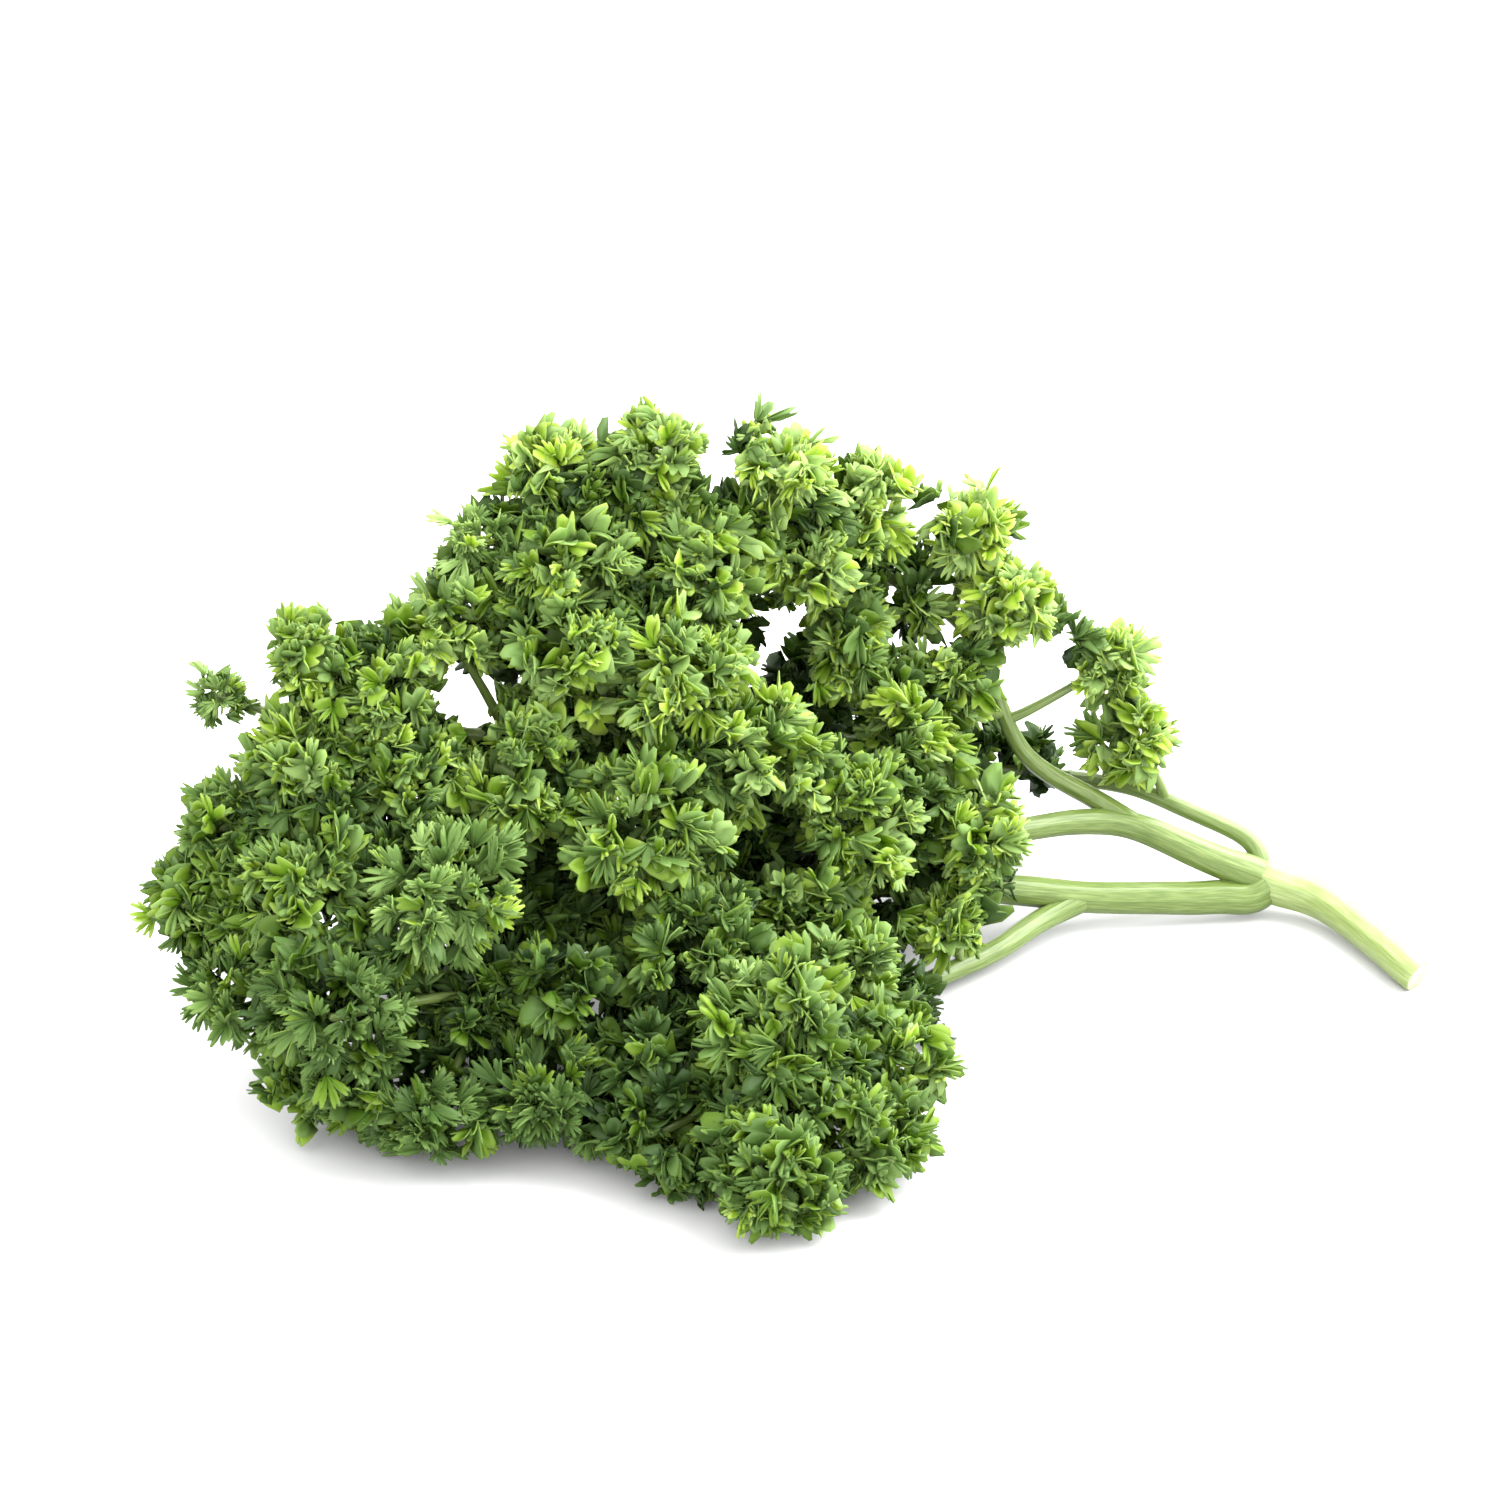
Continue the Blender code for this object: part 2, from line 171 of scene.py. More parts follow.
def add_table():
    """The white surface that the sprig lies on."""
    mesh = bpy.data.meshes.new("floor")
    r = TABLE_REACH
    mesh.from_pydata([(-r, -r, 0), (r, -r, 0), (r, r, 0), (-r, r, 0)], [], [(0, 1, 2, 3)])
    floor = bpy.data.objects.new("floor", mesh)
    bpy.context.scene.collection.objects.link(floor)
    mesh.materials.append(white_table())


# ---------------------------------------------------------------- materials

def linear(hex_colour):
    """An sRGB hex colour as linear RGBA."""
    channels = [int(hex_colour[i:i + 2], 16) / 255 for i in (1, 3, 5)]
    return [c / 12.92 if c <= 0.04045 else ((c + 0.055) / 1.055) ** 2.4 for c in channels] + [1.0]


def input_of(node, key):
    """The input that a key stands for: i6 is number 6, and any other key is its name."""
    if key[0] == "i" and key[1:].isdigit():
        return node.inputs[int(key[1:])]
    return node.inputs[key.replace("_", " ")]


def add_node(tree, kind, settings=None, **links):
    """Adds a node; settings are its properties, and links its input values or the sockets that feed them."""
    node = tree.nodes.new(kind)
    for key, value in (settings or {}).items():
        setattr(node, key, value)
    for key, value in links.items():
        socket = input_of(node, key)
        if isinstance(value, bpy.types.NodeSocket):
            tree.links.new(value, socket)
        else:
            socket.default_value = value
    return node


def new_material(name):
    """A material with its node tree, its shader and its output."""
    material = bpy.data.materials.new(name)
    material.use_nodes = True
    tree = material.node_tree
    return material, tree, tree.nodes["Principled BSDF"], tree.nodes["Material Output"]


def ramp_colours(node, stops):
    """Fills a colour ramp with (position, hex colour) stops."""
    elements = node.color_ramp.elements
    while len(elements) < len(stops):
        elements.new(0.5)
    for element, (position, colour) in zip(elements, stops):
        element.position = position
        element.color = linear(colour)


def white_table():
    """Laminate with a dull finish, so that it shows soft shadows and no reflections."""
    material, _, shader, _ = new_material("white_table")
    shader.inputs["Base Color"].default_value = linear("#b4b4b4")
    shader.inputs["Roughness"].default_value = 0.6
    return material


def parsley_leaf():
    """Fresh leaf blade: a thin waxy skin over green tissue, so a soft sheen and light that comes through.

    Both sides are lighter towards the teeth, a painted glow of light through the thin margins, and the
    underside is paler and bluer. The colour is then multiplied by painted shade and light from where each
    blade stands in the sprig.
    """
    material, tree, shader, output = new_material("parsley_leaf")
    blade = add_node(tree, "ShaderNodeAttribute", {"attribute_name": "blade"})
    parts = add_node(tree, "ShaderNodeSeparateColor", Color=blade.outputs["Color"])
    reach, painted_shade_and_tint, underside = (parts.outputs[name] for name in ("Red", "Green", "Blue"))
    upper = add_node(tree, "ShaderNodeValToRGB", i0=reach)
    # Lighter towards the margin: a painted glow of light through the thin teeth.
    ramp_colours(upper, [(0.0, "#74a430"), (0.45, "#9cc43e"), (0.8, "#aecc4e"), (1.0, "#bed676")])
    lower = add_node(tree, "ShaderNodeValToRGB", i0=reach)
    ramp_colours(lower, [(0.0, "#88a868"), (0.5, "#94b472"), (1.0, "#a8c486")])
    side = add_node(tree, "ShaderNodeMix", {"data_type": "RGBA"}, Factor=underside,
                    i6=upper.outputs["Color"], i7=lower.outputs["Color"])
    # Painted shade and light, multiplied into the colour: dark for blades deep in the middle and low down,
    # light for those up high and to the right.
    painted_shade = add_node(tree, "ShaderNodeValToRGB", i0=painted_shade_and_tint)
    ramp_colours(painted_shade, [(0.0, "#4a5e40"), (0.3, "#8ea074"), (0.55, "#bcc89e"), (0.95, "#fffee2")])
    multiply = {"data_type": "RGBA", "blend_type": "MULTIPLY"}
    colour = add_node(tree, "ShaderNodeMix", multiply, Factor=1.0, i6=side.outputs[2],
                      i7=painted_shade.outputs["Color"])
    tree.links.new(colour.outputs[2], shader.inputs["Base Color"])
    shader.inputs["Roughness"].default_value = 0.5
    shader.inputs["Specular IOR Level"].default_value = 0.35
    shader.inputs["IOR"].default_value = 1.45
    glow = add_node(tree, "ShaderNodeMix", multiply, Factor=1.0, i6=colour.outputs[2],
                    i7=linear("#fff6b0"))
    through = add_node(tree, "ShaderNodeBsdfTranslucent", Color=glow.outputs[2])
    both = add_node(tree, "ShaderNodeMixShader", Fac=0.5, i1=shader.outputs["BSDF"],
                    i2=through.outputs["BSDF"])
    tree.links.new(both.outputs["Shader"], output.inputs["Surface"])
    return material


def parsley_stem(name, dark, plain, light):
    """Fresh stem: watery, waxy tissue with fine paler streaks along it and soft light inside.

    Its map is in millimetres, and a streak is about 2.8 mm long and 0.15 mm wide.
    """
    material, tree, shader, _ = new_material(name)
    where = add_node(tree, "ShaderNodeUVMap", {"uv_map": "along_and_around"})
    stretched = add_node(tree, "ShaderNodeMapping", Vector=where.outputs["UV"], Scale=(0.12, 2.2, 1.0))
    streaks = add_node(tree, "ShaderNodeTexNoise", Vector=stretched.outputs["Vector"], Scale=3.0,
                       Detail=4.0, Roughness=0.55)
    colour = add_node(tree, "ShaderNodeValToRGB", i0=streaks.outputs["Fac"])
    ramp_colours(colour, [(0.3, dark), (0.5, plain), (0.72, light)])
    tree.links.new(colour.outputs["Color"], shader.inputs["Base Color"])
    shader.inputs["Roughness"].default_value = 0.36
    shader.inputs["IOR"].default_value = 1.42
    shader.inputs["Subsurface Weight"].default_value = 0.35
    shader.inputs["Subsurface Radius"].default_value = (0.9, 1.0, 0.35)
    shader.inputs["Subsurface Scale"].default_value = 0.8 * MM
    return material


# ---------------------------------------------------------------- meshes and pieces

LEAF_SOFTNESS = 0.7 * MM     # height over which leaves ease down onto the table
STEM_SOFTNESS = 0.1 * MM


def unit(vector):
    """A vector's direction."""
    return vector / np.linalg.norm(vector)


def unit_rows(rows):
    """The direction of each row."""
    return rows / np.linalg.norm(rows, axis=1)[:, None]


def mesh_from_arrays(name, points, quads):
    """A mesh from numpy arrays, far faster than from_pydata."""
    mesh = bpy.data.meshes.new(name)
    mesh.vertices.add(len(points))
    mesh.vertices.foreach_set("co", points.astype(np.float32).ravel())
    mesh.loops.add(quads.size)
    mesh.loops.foreach_set("vertex_index", quads.astype(np.int32).ravel())
    mesh.polygons.add(len(quads))
    mesh.polygons.foreach_set("loop_start", np.arange(0, quads.size, 4, dtype=np.int32))
    mesh.update(calc_edges=True)
    mesh.shade_smooth()
    return mesh


def above_table(points, softness):
    """Presses what would dip below the table flat on it."""
    z = points[:, 2]
    low = z < softness
    z[low] = softness * np.exp((z[low] - softness) / softness)
    return points


def add_piece(name, mesh, material, replaced=None):
    """Puts a mesh in the scene as a piece of the sprig."""
    mesh.materials.append(material)
    piece = bpy.data.objects.new(name, mesh)
    bpy.context.scene.collection.objects.link(piece)
    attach(piece, "root")
    if replaced:
        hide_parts(replaced)


def node_points(node):
    """The points of a node's solid."""
    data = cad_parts[node].data
    points = np.zeros(len(data.vertices) * 3, np.float32)
    data.vertices.foreach_get("co", points)
    return points.reshape(-1, 3).astype(float)


# ---------------------------------------------------------------- lines of the stems

EVEN_MESH_SIZE = 0.45 * MM
BAND_LENGTH = 2.0 * MM             # of the bands that a stem's line is read from
STEM_RING_SPACING = 0.8 * MM
ROOT_RINGS_BACK = 3                # where a branch starts, in rings before the nearest one to it
ROOT_SHARE = 0.8                   # and no thicker than this share of the stem that carries it
FLARE_REACH = 3.0 * MM
FLARE_AMOUNT = 0.22


def remeshed(node, size):
    """Points and edges of a node's solid, meshed evenly."""
    copy = bpy.data.objects.new("even_copy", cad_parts[node].data.copy())
    bpy.context.scene.collection.objects.link(copy)
    even = copy.modifiers.new("even", "REMESH")
    even.mode = "VOXEL"
    even.voxel_size = size
    mesh = copy.evaluated_get(bpy.context.evaluated_depsgraph_get()).to_mesh()
    points = np.array([v.co[:] for v in mesh.vertices])
    edges = np.array([e.vertices[:] for e in mesh.edges])
    bpy.data.objects.remove(copy)
    return points, edges


def walk_from(start, neighbours):
    """Distance over the surface from one point to all others."""
    distance = np.full(len(neighbours), np.inf)
    distance[start] = 0
    queue = [(0.0, start)]
    while queue:
        so_far, here = heapq.heappop(queue)
        if so_far > distance[here]:
            continue
        for there, step in neighbours[here]:
            if so_far + step < distance[there]:
                distance[there] = so_far + step
                heapq.heappush(queue, (so_far + step, there))
    return distance


def distance_from_one_end(points, edges):
    """Distance over a stem's surface from its far end to each point."""
    neighbours = [[] for _ in points]
    for a, b in edges:
        step = float(np.linalg.norm(points[a] - points[b]))
        neighbours[a].append((b, step))
        neighbours[b].append((a, step))
    from_any = walk_from(0, neighbours)
    far_end = int(np.argmax(np.where(np.isinf(from_any), 0, from_any)))
    return walk_from(far_end, neighbours)


def bands_along(points, distance):
    """A stem's surface points in bands, one after another along it."""
    reached = np.isfinite(distance)
    length = distance[reached].max()
    borders = np.linspace(0, length, max(1, int(length / BAND_LENGTH)) + 1)
    return [points[reached & (distance >= near) & (distance <= far)]
            for near, far in zip(borders, borders[1:])]


def centre_line(node):
    """The centre line and radii of a stem's solid, from its thick end to its thin end."""
    points, edges = remeshed(node, EVEN_MESH_SIZE)
    bands = bands_along(points, distance_from_one_end(points, edges))
    line = np.array([band.mean(axis=0) for band in bands])
    radii = []
    for band, centre, along in zip(bands, line, unit_rows(np.gradient(line, axis=0))):
        offsets = band - centre
        across = offsets - np.outer(offsets @ along, along)
        radii.append(float(np.median(np.linalg.norm(across, axis=1))))
    radii = np.array(radii)
    third = len(radii) // 3
    if radii[:third].mean() < radii[-third:].mean():
        line, radii = line[::-1], radii[::-1]
    return line, radii


def smooth(values, passes):
    """Evens out neighbours along the first axis and keeps the ends."""
    values = np.array(values, float)
    for _ in range(passes):
        values[1:-1] = 0.25 * values[:-2] + 0.5 * values[1:-1] + 0.25 * values[2:]
    return values


def resample(line, radii, count):
    """A number of points along a line, evened out, and the radius at each."""
    steps = np.linalg.norm(np.diff(line, axis=0), axis=1)
    along = np.concatenate([[0], np.cumsum(steps)])
    wanted = np.linspace(0, along[-1], count)
    points = np.stack([np.interp(wanted, along, line[:, i]) for i in range(3)], axis=1)
    return smooth(points, 6), np.interp(wanted, along, radii)


def rooted(line, radii, parent):
    """Starts a branch's line inside the stem that it grows from, a little before where it leaves."""
    inside, thickness = parent
    near = int(np.argmin(np.linalg.norm(inside - line[0], axis=1)))
    back = max(0, near - ROOT_RINGS_BACK)
    start = inside[back] if back else inside[near]
    line = np.vstack([start, line[1:]])
    radii = np.concatenate([[min(radii[1], thickness[near] * ROOT_SHARE)], radii[1:]])
    return line, radii


def flare(radii):
    """Thickens a branch towards its foot, as a leaf stalk does where it joins its stem."""
    along = np.arange(len(radii)) * STEM_RING_SPACING
    return radii * (1 + FLARE_AMOUNT * np.exp(-(along / FLARE_REACH) ** 2))


# ---------------------------------------------------------------- ribbed stems

RIB_HEIGHT = 0.03            # share of the stem's radius
PITH_BANDS = 3               # bands of faces at the cut that show the pith

# The rings that close a stem's end: their width and how far they stand out, as shares of its radius.
FOOT_END = ((0.02, 0.30), (0.5, 0.27), (0.85, 0.15))
ROUNDED_END = ((0.85, 0.5), (0.5, 0.85), (0.02, 1.0))
CUT_END = ((0.94, 0.1), (0.86, 0.12), (0.5, 0.06), (0.02, 0.0))


def frames_along(line):
    """Tangent and two sideways axes at each point, without twist."""
    tangents = unit_rows(np.gradient(line, axis=0))
    across = np.cross(tangents[0], [0.0, 0.0, 1.0])
    frames = []
    for tangent in tangents:
        across = across - tangent * (across @ tangent)
        across /= np.linalg.norm(across)
        frames.append((tangent, across, np.cross(tangent, across)))
    return frames


def closing_rings(ring, centre, outward, shape):
    """The rings that close one end of a stem."""
    return [centre + (ring - centre) * width + outward * height for width, height in shape]


def ribbed_tube(line, radii, sides=36, ribs=9, end=ROUNDED_END):
    """A round stem with low ribs along it, closed at both ends.

    Returns its points and quads, and how many rings and sides it has.
    """
    frames = frames_along(line)
    turn = np.arange(sides) / sides * math.tau
    profile = 1 + RIB_HEIGHT * np.cos(ribs * turn)
    cosines, sines = np.cos(turn)[:, None], np.sin(turn)[:, None]
    rings = [centre + radius * profile[:, None] * (cosines * across + sines * up)
             for centre, (_, across, up), radius in zip(line, frames, radii)]
    rings = (closing_rings(rings[0], line[0], -frames[0][0] * radii[0], FOOT_END) + rings
             + closing_rings(rings[-1], line[-1], frames[-1][0] * radii[-1], end))
    i, j = np.meshgrid(np.arange(len(rings) - 1), np.arange(sides), indexing="ij")
    k = (j + 1) % sides
    quads = np.stack([i * sides + j, i * sides + k, (i + 1) * sides + k, (i + 1) * sides + j], axis=-1)
    return np.concatenate(rings), quads.reshape(-1, 4), len(rings), sides


def lay_out_stem_uv(mesh, line_length, ring_count, sides, girth):
    """A map in millimetres: along the stem and round it."""
    uv = mesh.uv_layers.new(name="along_and_around")
    corner_vertex = np.zeros(len(mesh.loops), np.int32)
    mesh.loops.foreach_get("vertex_index", corner_vertex)
    ring, column = corner_vertex // sides, corner_vertex % sides
    by_face = column.reshape(-1, 4)
    wraps = (by_face.max(axis=1) - by_face.min(axis=1)) > 1
    column = np.where(np.repeat(wraps, 4) & (column == 0), sides, column)
    places = np.stack([ring / ring_count * line_length / MM, column / sides * girth / MM], axis=1)
    uv.data.foreach_set("uv", places.astype(np.float32).ravel())


def add_stems(branch_material, stalk_material, pith_material):
    """The stalk, cut square at its end, and the branches; returns their lines and radii."""
    lines = {}
    for node, parent in GROWS_FROM.items():
        line, radii = centre_line(node)
        radii[0], radii[-1] = radii[1], radii[-2]
        radii = smooth(radii, 3)
        if parent:
            line, radii = rooted(line, radii, lines[parent])
        length = np.linalg.norm(np.diff(line, axis=0), axis=1).sum()
        line, radii = resample(line, radii, int(length / STEM_RING_SPACING))
        lines[node] = (line, radii)
        if parent:
            radii = flare(radii)
        points, quads, rings, sides = ribbed_tube(line, radii, end=ROUNDED_END if parent else CUT_END)
        mesh = mesh_from_arrays(node + "_ribbed", above_table(points, STEM_SOFTNESS), quads)
        lay_out_stem_uv(mesh, length, rings, sides, math.tau * radii.mean())
        add_piece(node + "_ribbed", mesh, branch_material if parent else stalk_material, node)
        if not parent:
            mesh.materials.append(pith_material)
            for face in mesh.polygons[-PITH_BANDS * sides:]:
                face.material_index = 1
    return lines


# ---------------------------------------------------------------- crisped blades

FAN_COLUMNS = 33             # points across a blade's margin
FAN_ROWS = 4                 # points from a blade's foot to its margin
ACROSS = np.linspace(-1, 1, FAN_COLUMNS)
REACH = np.linspace(0.05, 1, FAN_ROWS) ** 0.8
BLADE_THICKNESS = 0.22 * MM
MARGIN_THINNING = 0.55       # share of the thickness that is lost towards the margin
MARGIN_WOBBLE = 0.025        # unevenness of the margin, as a share of length
SEGMENT_POWER = 0.7          # below 1, segments and teeth are blunt and the clefts between them narrow
TOOTH_POWER = 0.8
SIDE_SHORTENING = 0.22       # how much shorter a fan is at its sides
LEAST_BEND = 1.0             # per metre, so that nothing is divided by zero


class BladeStyle:
    """The shape of one kind of blade, a fan cleft into segments with toothed ends."""

    def __init__(self, spread, segments, cleft, teeth, tooth_depth, ruffle, curl, lengths):
        self.spread = spread              # half angle of the fan, in radians
        self.segments = segments
        self.cleft = cleft                # depth of the clefts between segments, as a share of length
        self.teeth = teeth                # teeth on each segment
        self.tooth_depth = tooth_depth
        self.ruffle = ruffle              # height of the margin's waves, as a share of length
        self.curl = curl                  # lowest and highest bend of the blade, in radians
        self.lengths = lengths            # shortest and longest blade


CRISPED = BladeStyle(spread=1.15, segments=4, cleft=0.76, teeth=2, tooth_depth=0.40, ruffle=0.32,
                     curl=(-0.6, 1.3), lengths=(1.9 * MM, 4.0 * MM))
OPEN = BladeStyle(spread=0.95, segments=4, cleft=0.74, teeth=2, tooth_depth=0.30, ruffle=0.12,
                  curl=(-0.4, 1.1), lengths=(2.2 * MM, 4.8 * MM))


def margin_profile(style):
    """How far the margin reaches at each place across the fan."""
    place = (ACROSS + 1) / 2 * style.segments
    segments = np.abs(np.sin(math.pi * place)) ** SEGMENT_POWER
    teeth = np.abs(np.sin(math.pi * place * style.teeth)) ** TOOTH_POWER
    profile = (1 - style.cleft * (1 - segments)) * (1 - style.tooth_depth * (1 - teeth))
    return profile * (1 - SIDE_SHORTENING * ACROSS ** 2)


def flat_wedges(lengths, style, rng):
    """Flat blades: x across and y towards the margin."""
    wobble = 1 + MARGIN_WOBBLE * rng.standard_normal((len(lengths), FAN_COLUMNS))
    margin = margin_profile(style)[None, None, :] * wobble[:, None, :]
    radius = lengths[:, None, None] * REACH[None, :, None] * margin
    angle = style.spread * ACROSS[None, None, :] * (0.75 + 0.25 * REACH[None, :, None])
    return radius * np.sin(angle), radius * np.cos(angle)


def ruffles(lengths, style, rng):
    """How far each blade waves out of its plane: three waves of its own, highest at the margin."""
    phases = rng.uniform(0, math.tau, (len(lengths), 3))
    place = ACROSS[None, :] * math.pi
    waves = (np.sin(place * 1.3 + phases[:, :1])
             + 0.8 * np.sin(place * style.segments * 0.5 + phases[:, 1:2])
             + 0.25 * np.sin(place * style.segments * 1.1 + phases[:, 2:3]))
    return style.ruffle * lengths[:, None, None] * REACH[None, :, None] ** 1.8 * waves[:, None, :]


def curled(x, y, z, lengths, style, rng):
    """Bends each blade into an arc from its foot to its margin."""
    bend = (rng.uniform(*style.curl, len(lengths)) / lengths)[:, None, None]
    bend = np.where(np.abs(bend) < LEAST_BEND, LEAST_BEND, bend)
    turned = bend * y
    along = np.sin(turned) / bend - z * np.sin(turned)
    lift = (1 - np.cos(turned)) / bend + z * np.cos(turned)
    return np.stack([x, along, lift], axis=-1)


def set_out(blades, feet, aims, rng):
    """Places blades at their feet, each opening along its aim and rolled about it at random."""
    forward = unit_rows(aims)
    side = unit_rows(np.cross(forward, rng.standard_normal((len(feet), 3))))
    axes = np.stack([side, forward, np.cross(side, forward)], axis=1)
    return np.einsum("frcd,fde->frce", blades, axes) + feet[:, None, None, :]


def both_sheets(middle):
    """Upper and lower sheets on either side of each blade's middle surface."""
    normal = np.cross(np.gradient(middle, axis=2), np.gradient(middle, axis=1))
    normal /= np.linalg.norm(normal, axis=-1)[..., None] + 1e-12
    half = BLADE_THICKNESS / 2 * (1 - MARGIN_THINNING * REACH)[None, :, None, None]
    return np.stack([middle + normal * half, middle - normal * half], axis=1)


def colour_values(painted_shades_and_tints, undersides):
    """For each point: place along the blade, painted shade and tint, 1 on a pale side, and place across."""
    shape = (len(painted_shades_and_tints), 2, FAN_ROWS, FAN_COLUMNS)
    reach = np.broadcast_to(REACH[None, None, :, None], shape)
    painted_shade_and_tint = np.broadcast_to(painted_shades_and_tints[:, None, None, None], shape)
    across = np.broadcast_to(ACROSS[None, None, None, :], shape)
    pale = np.zeros(shape)
    pale[:, 1] = 1.0
    pale = np.where(undersides[:, None, None, None], 1.0, pale)
    return np.stack([reach, painted_shade_and_tint, pale, across], axis=-1).reshape(-1, 4)


def fan_quads(count):
    """Faces of closed blades: the upper sheet, the lower sheet and the rim that joins them."""
    grid = np.arange(FAN_ROWS * FAN_COLUMNS).reshape(FAN_ROWS, FAN_COLUMNS)
    upper = np.stack([grid[:-1, :-1], grid[:-1, 1:], grid[1:, 1:], grid[1:, :-1]], axis=-1).reshape(-1, 4)
    sheet = grid.size
    lower = upper[:, ::-1] + sheet
    rim = np.concatenate([grid[0, :-1], grid[:-1, -1], grid[-1, :0:-1], grid[:0:-1, 0]])
    ahead = np.roll(rim, -1)
    rim_quads = np.stack([ahead, rim, rim + sheet, ahead + sheet], axis=-1)
    quads = np.concatenate([upper, lower, rim_quads])
    starts = np.arange(count) * sheet * 2
    return (quads[None] + starts[:, None, None]).reshape(-1, 4)


def even_directions(count, rng, jitter):
    """Directions spread evenly over a sphere, then shaken a little."""
    i = np.arange(count) + 0.5
    polar = np.arccos(1 - 2 * i / count)
    turn = math.pi * (1 + math.sqrt(5)) * i
    directions = np.stack([np.cos(turn) * np.sin(polar), np.sin(turn) * np.sin(polar), np.cos(polar)], axis=1)
    directions += rng.standard_normal((count, 3)) * jitter
    return unit_rows(directions)


# ---------------------------------------------------------------- tufts of blades

KEPT_CLEAR_AT = 0.6          # the place on a blade that is kept out of a gap, as a share of its length
KEPT_CLEAR_BY = 0.3          # and how far it stays from the gap's edge, as a share of its length too
PIECE_BLADES = 300           # most blades in one piece of tufts
TUFT_JITTER = 0.45           # how unevenly a tuft's blades spread
TUFT_OPENING = -0.3          # lowest cosine between a blade and the way that its tuft faces
TUFT_OUTWARD = 0.6           # how strongly blades lean the way that their tuft faces
TUFT_FEET = 0.22             # spread of the blades' feet, as a share of the tuft's length
TUFT_LENGTHS = (0.65, 1.25)  # shortest and longest blade, as shares of the tuft's length
BLADE_TINTS = 0.14           # how much the tint differs from blade to blade
PIECE_TINTS = 0.08           # and from piece to piece
TURNED_UP = 0.7              # upward share that is left to blades near the table


class Blades:
    """Where a piece's blades start, which way they open and how long they are."""

    def __init__(self):
        self.feet, self.aims, self.lengths = [], [], []

    def add_tuft(self, heart, out, count, length, rng):
        """Blades that open outward from one point, over a bit more than half of a sphere."""
        added = 0
        for spread in rng.permutation(even_directions(count * 2, rng, TUFT_JITTER)):
            if spread @ out > TUFT_OPENING and added < count:
                self.feet.append(heart + rng.standard_normal(3) * length * TUFT_FEET)
                self.aims.append(out * TUFT_OUTWARD + spread)
                self.lengths.append(length * rng.uniform(*TUFT_LENGTHS))
                added += 1

    def keep_out_of(self, openings):
        """Drops the blades that would close a gap, which runs through the sprig along GAP_AXIS."""
        kept = []
        for i, (foot, aim, length) in enumerate(zip(self.feet, self.aims, self.lengths)):
            middle = foot + unit(aim) * length * KEPT_CLEAR_AT
            off_axis = [middle - centre - (middle - centre) @ GAP_AXIS * GAP_AXIS for centre, _ in openings]
            if all(np.linalg.norm(off) > radius + KEPT_CLEAR_BY * length
                   for off, (_, radius) in zip(off_axis, openings)):
                kept.append(i)
        self.feet, self.aims, self.lengths = ([values[i] for i in kept]
                                              for values in (self.feet, self.aims, self.lengths))

    def in_pieces(self, count):
        """The same blades in groups of at most count."""
        for start in range(0, len(self.feet), count):
            group = Blades()
            group.feet, group.aims, group.lengths = (values[start:start + count]
                                                     for values in (self.feet, self.aims, self.lengths))
            yield group

    def make(self, style, rng, painted_lightness, pale_share):
        """Points, quads and colour values of the blades; those near the table turn up."""
        count = len(self.feet)
        # Painted light and shade from where the blades stand, plus a tone that differs at random from blade
        # to blade and piece to piece.
        painted_shades_and_tints = painted_lightness + BLADE_TINTS * rng.standard_normal(count) + rng.uniform(-PIECE_TINTS, PIECE_TINTS)
        painted_shades_and_tints = np.clip(painted_shades_and_tints, 0, 1)
        undersides = rng.uniform(size=count) < pale_share
        lengths = np.clip(np.array(self.lengths), *style.lengths)
        feet, aims = np.array(self.feet), np.array(self.aims)
        low = feet[:, 2] < lengths
        aims[low, 2] = TURNED_UP * np.abs(aims[low, 2])
        x, y = flat_wedges(lengths, style, rng)
        z = ruffles(lengths, style, rng)
        middle = set_out(curled(x, y, z, lengths, style, rng), feet, aims, rng)
        return both_sheets(middle).reshape(-1, 3), fan_quads(count), colour_values(painted_shades_and_tints, undersides)


def lay_out_leaf_values(mesh, values):
    """Colour values for the material, and a bake map on which each colour has its own place.

    Along it runs the place on the blade, with undersides in the second half, and up it the painted shade and
    tint.
    """
    colours = mesh.attributes.new("blade", "FLOAT_COLOR", "POINT")
    rgba = np.column_stack([values[:, :3], np.ones(len(values))])
    colours.data.foreach_set("color", rgba.astype(np.float32).ravel())
    corner_vertex = np.zeros(len(mesh.loops), np.int32)
    mesh.loops.foreach_get("vertex_index", corner_vertex)
    reach, painted_shade_and_tint, side, across = values[corner_vertex].T
    uv = mesh.uv_layers.new(name="OFBake")
    u = 0.02 + 0.46 * reach + 0.5 * side
    v = 0.03 + 0.9 * painted_shade_and_tint + 0.02 * (across + 1)
    uv.data.foreach_set("uv", np.stack([u, v], axis=1).astype(np.float32).ravel())


def add_leaf_piece(name, parts, material, replaced=None):
    """Puts made blades in the scene as one piece."""
    points, quads, values = parts
    mesh = mesh_from_arrays(name, above_table(points, LEAF_SOFTNESS), quads)
    lay_out_leaf_values(mesh, values)
    add_piece(name, mesh, material, replaced)


def add_tuft_pieces(name, blades, painted_lightness, leaf, rng):
    """Tufts that belong to no one leaflet, as pieces of a moderate size."""
    for number, group in enumerate(blades.in_pieces(PIECE_BLADES), 1):
        add_leaf_piece(f"{name}_{number}", group.make(CRISPED, rng, painted_lightness, TUFT_PALE), leaf)


# ---------------------------------------------------------------- leaflets

